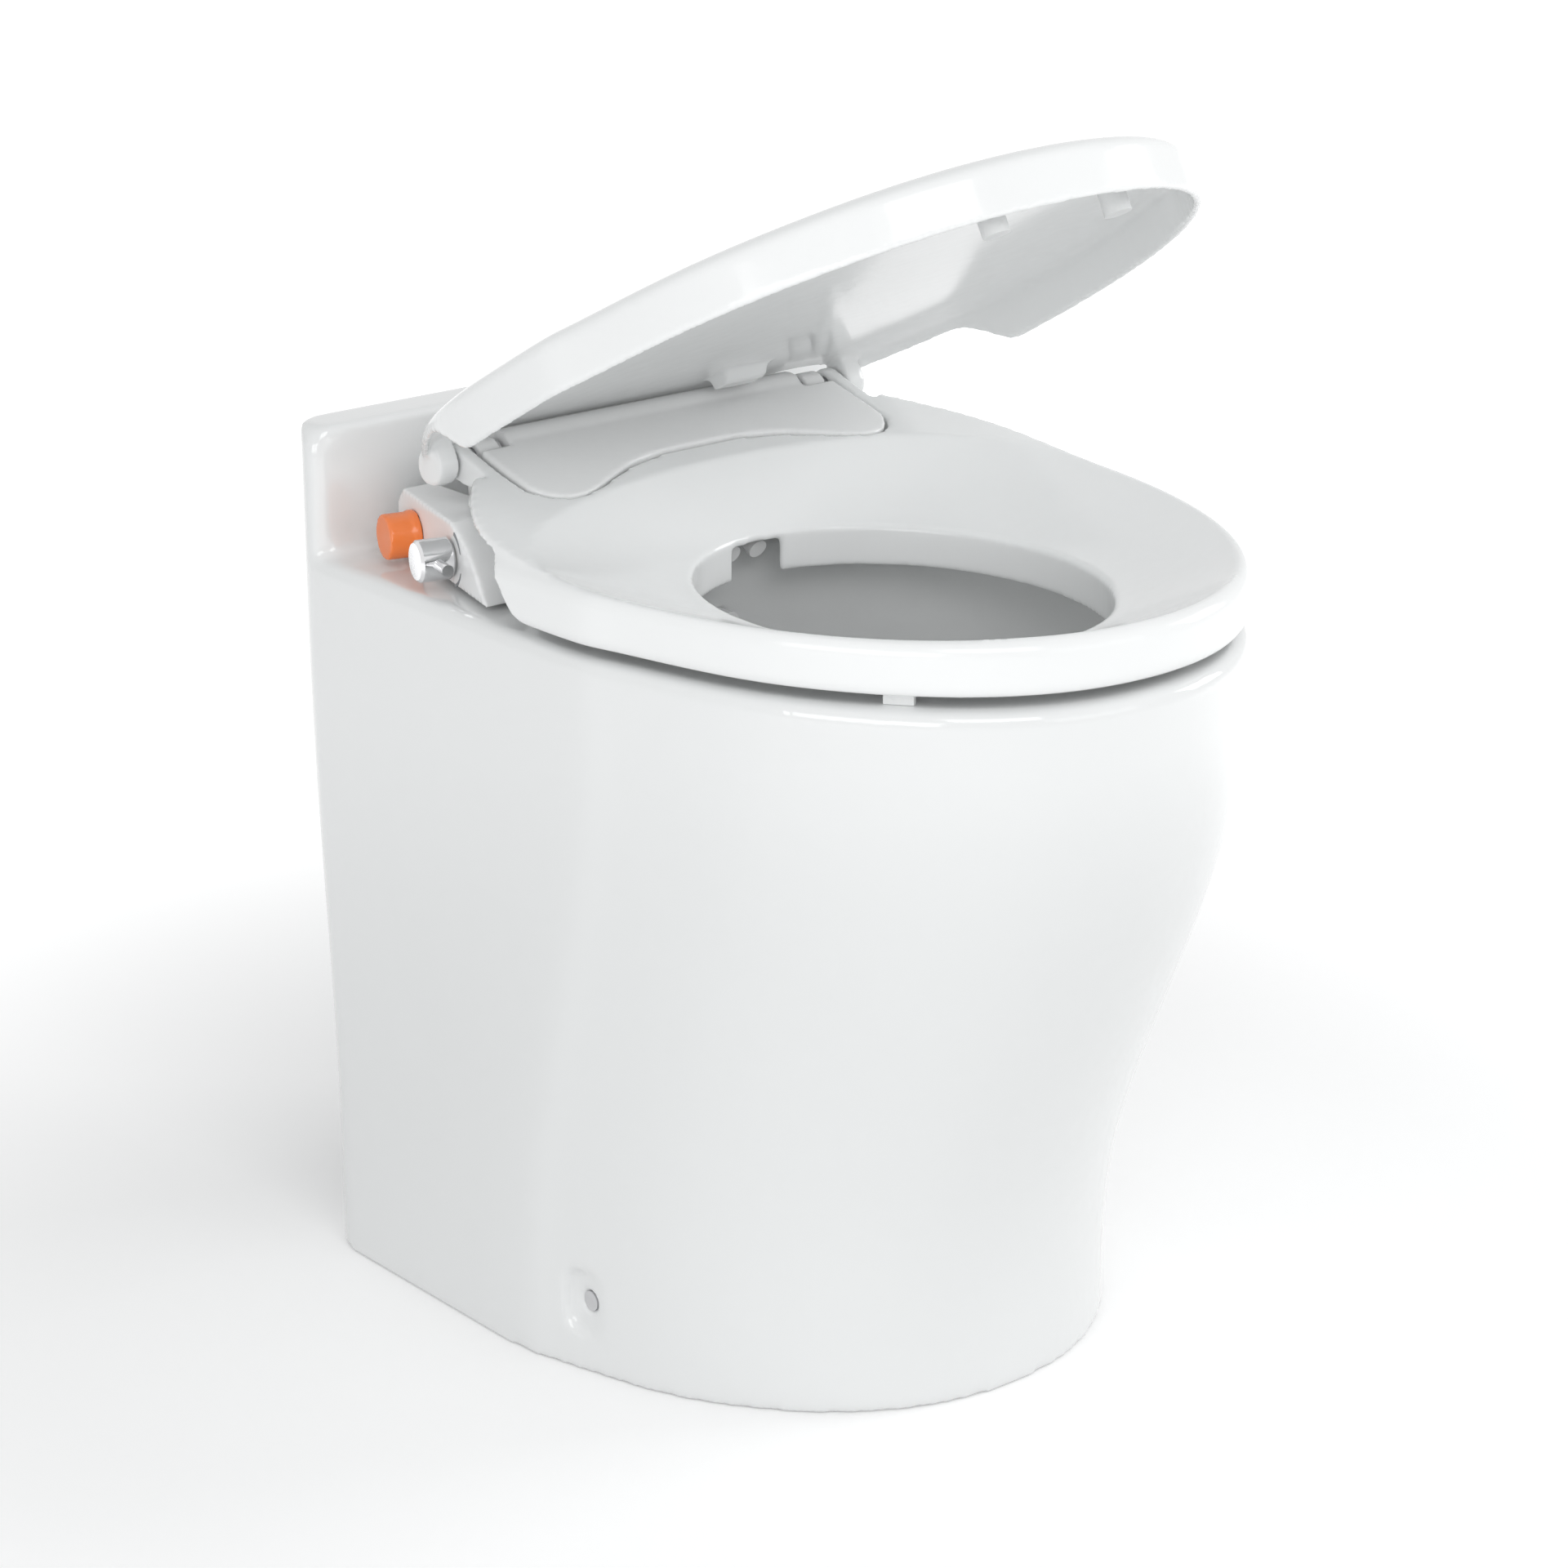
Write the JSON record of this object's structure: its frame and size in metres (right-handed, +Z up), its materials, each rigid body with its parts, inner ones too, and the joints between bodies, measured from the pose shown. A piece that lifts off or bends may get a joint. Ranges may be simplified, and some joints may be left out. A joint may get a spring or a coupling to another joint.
{
  "type": "macerator toilet",
  "caption": "Compact floor-standing macerator toilet: glazed pedestal with built-in cutter pump and rinse valve, and a bidet seat with ring, lid, wash nozzles and side knob.",
  "frame": {"origin": "on the floor, under the middle of the whole object", "axes": "+Z up, -Y towards the user who stands in front, +Y to the wall, -X to the sitting user's right"},
  "size_m": [0.38, 0.4802, 0.6666],
  "materials": {
    "vitreous_china": "clear gloss glaze over white china",
    "seat_plastic": "polished white moulding",
    "white_plastic": "glossy white moulding",
    "white_rubber": "satin white elastomer",
    "knob_chrome": "bright chrome plate",
    "orange_plastic": "bright orange moulding",
    "grey_plastic": "fine matt moulding",
    "coil_plastic": "black moulded coil case",
    "black_rubber": "matt black rubber",
    "hose_rubber": "grey flexible hose",
    "motor_paint": "dark satin paint",
    "core_steel": "stacked steel sheets",
    "bearing_steel": "ground steel",
    "stainless_steel": "stainless steel",
    "galvanised_steel": "zinc-coated sheet",
    "brass_fitting": "turned brass"
  },
  "bodies": {
    "pedestal": {"ceramic_pedestal": "vitreous_china", "ceramic_bowl": "vitreous_china", "floor_bracket_right": "galvanised_steel", "floor_bracket_left": "galvanised_steel", "side_fixing_screws": "stainless_steel", "outlet_sleeve": "black_rubber", "sleeve_clamps": "stainless_steel", "macerator_chamber": "grey_plastic", "chamber_cover": "grey_plastic", "chamber_cover_screws": "stainless_steel", "shaft_seal": "black_rubber", "front_bearing": "bearing_steel", "rear_bearing": "bearing_steel", "motor_stator_core": "core_steel", "motor_can": "motor_paint", "motor_end_cap": "motor_paint", "pump_cradle": "galvanised_steel", "cradle_feet": "black_rubber", "discharge_elbow": "grey_plastic", "duckbill_valve": "black_rubber", "carrier_plate": "grey_plastic", "carrier_screws": "stainless_steel", "control_box": "grey_plastic", "control_box_lid": "grey_plastic", "motor_lead": "black_rubber", "valve_lead": "black_rubber", "rinse_valve_body": "grey_plastic", "rinse_valve_nut": "grey_plastic", "rinse_coil": "coil_plastic", "plunger_spring": "stainless_steel", "rinse_hose": "hose_rubber", "rim_rinse_nozzle": "white_plastic", "seat_mounting_plate": "white_plastic", "seat_mounting_bolts": "white_plastic", "seat_mounting_nuts": "white_plastic", "bidet_base": "white_plastic", "bidet_cover": "white_plastic", "hinge_pins": "stainless_steel", "mixer_valve": "grey_plastic", "water_inlet": "brass_fitting", "inlet_cap": "orange_plastic", "nozzle_guide": "white_plastic"},
    "rotor": {"motor_shaft": "bearing_steel", "motor_rotor_core": "core_steel", "pump_impeller": "grey_plastic", "macerator_cutter": "stainless_steel"},
    "plunger": {"rinse_plunger": "bearing_steel"},
    "knob": {"control_knob": "knob_chrome", "valve_spindle": "brass_fitting"},
    "nozzle_right": {"wash_nozzle_right": "white_plastic"},
    "nozzle_left": {"wash_nozzle_left": "white_plastic"},
    "seat": {"seat_ring": "seat_plastic", "seat_bumpers": "white_rubber"},
    "lid": {"lid_shell": "seat_plastic", "lid_bumpers": "white_rubber"}
  },
  "joints": [
    {"name": "seat_hinge", "type": "hinge", "parent": "pedestal", "child": "seat", "pos_m": [0, 0.161, 0.465], "axis": [-1, 0, 0], "range_deg": [0, 40]},
    {"name": "lid_hinge", "type": "hinge", "parent": "seat", "child": "lid", "pos_m": [0, 0.161, 0.465], "axis": [-1, 0, 0], "range_deg": [-29.7, 60]},
    {"name": "knob_turn", "type": "hinge", "parent": "pedestal", "child": "knob", "pos_m": [-0.163, 0.12, 0.427], "axis": [-0.9659, 0.2588, 0], "range_deg": [-30, 90]},
    {"name": "nozzle_right_slide", "type": "slide", "parent": "pedestal", "child": "nozzle_right", "axis": [0, -0.9063, -0.4226], "range_m": [0, 0.038], "stiffness_N_per_m": 40, "springref_m": -0.02},
    {"name": "nozzle_left_slide", "type": "slide", "parent": "pedestal", "child": "nozzle_left", "axis": [0, -0.9063, -0.4226], "range_m": [0, 0.038], "stiffness_N_per_m": 40, "springref_m": -0.02},
    {"name": "rotor_spin", "type": "hinge", "parent": "pedestal", "child": "rotor", "pos_m": [0, 0.17, 0.153], "axis": [1, 0, 0], "continuous": true},
    {"name": "plunger_lift", "type": "slide", "parent": "pedestal", "child": "plunger", "axis": [0, 0, -1], "range_m": [0, 0.004], "stiffness_N_per_m": 400, "springref_m": -0.003, "deforming": ["plunger_spring"]}
  ]
}
